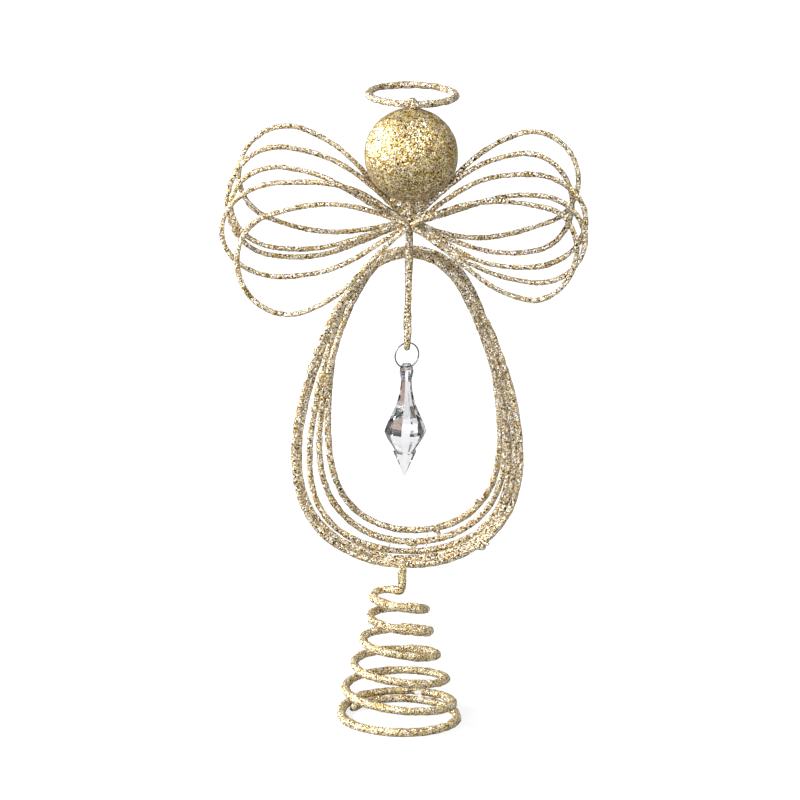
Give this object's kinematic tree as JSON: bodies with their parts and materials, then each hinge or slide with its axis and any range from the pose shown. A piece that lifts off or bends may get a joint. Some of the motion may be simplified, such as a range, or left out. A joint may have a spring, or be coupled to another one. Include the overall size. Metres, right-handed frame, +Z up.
{
  "type": "angel tree topper",
  "caption": "Angel tree topper of gold glittered wire: ball head, halo, fanned wings, nested gown loops, a clear faceted drop and a conical spring foot.",
  "frame": {"origin": "on the axis of the foot spring, at the level that its flat bottom turn stands on", "axes": "+Z up along the centre wire, the figure faces -Y, +X to the viewer's right"},
  "size_m": [0.1559, 0.0656, 0.2749],
  "materials": {
    "glitter_wire": "gold glitter over a lumpy coat",
    "glitter_ball": "gold glitter over a lumpy coat",
    "ring_steel": "bright",
    "clear_acrylic": "clear and polished"
  },
  "bodies": {
    "base": {"tree_spring": "glitter_wire"},
    "figure": {"centre_wire": "glitter_wire", "head_ball": "glitter_ball", "halo_ring": "glitter_wire", "wing_left_1": "glitter_wire", "wing_left_2": "glitter_wire", "wing_left_3": "glitter_wire", "wing_left_4": "glitter_wire", "wing_left_5": "glitter_wire", "wing_right_1": "glitter_wire", "wing_right_2": "glitter_wire", "wing_right_3": "glitter_wire", "wing_right_4": "glitter_wire", "wing_right_5": "glitter_wire", "body_loop_1": "glitter_wire", "body_loop_2": "glitter_wire", "body_loop_3": "glitter_wire", "body_loop_4": "glitter_wire", "body_loop_5": "glitter_wire"},
    "ring": {"jump_ring": "ring_steel"},
    "drop": {"crystal_drop": "clear_acrylic"}
  },
  "joints": [
    {"name": "spring_compress", "type": "slide", "parent": "base", "child": "figure", "axis": [0, 0, -1], "range_m": [0, 0.01], "stiffness_N_per_m": 700, "springref_m": -0.0023, "deforming": ["tree_spring"]},
    {"name": "ring_sway", "type": "hinge", "parent": "figure", "child": "ring", "pos_m": [0, 0.00215, 0.16535], "axis": [-0.4226, 0.9063, 0], "range_deg": [-25, 25]},
    {"name": "drop_swing", "type": "hinge", "parent": "ring", "child": "drop", "pos_m": [0, 0.00215, 0.15635], "axis": [0.9063, 0.4226, 0], "range_deg": [-40, 40]}
  ]
}
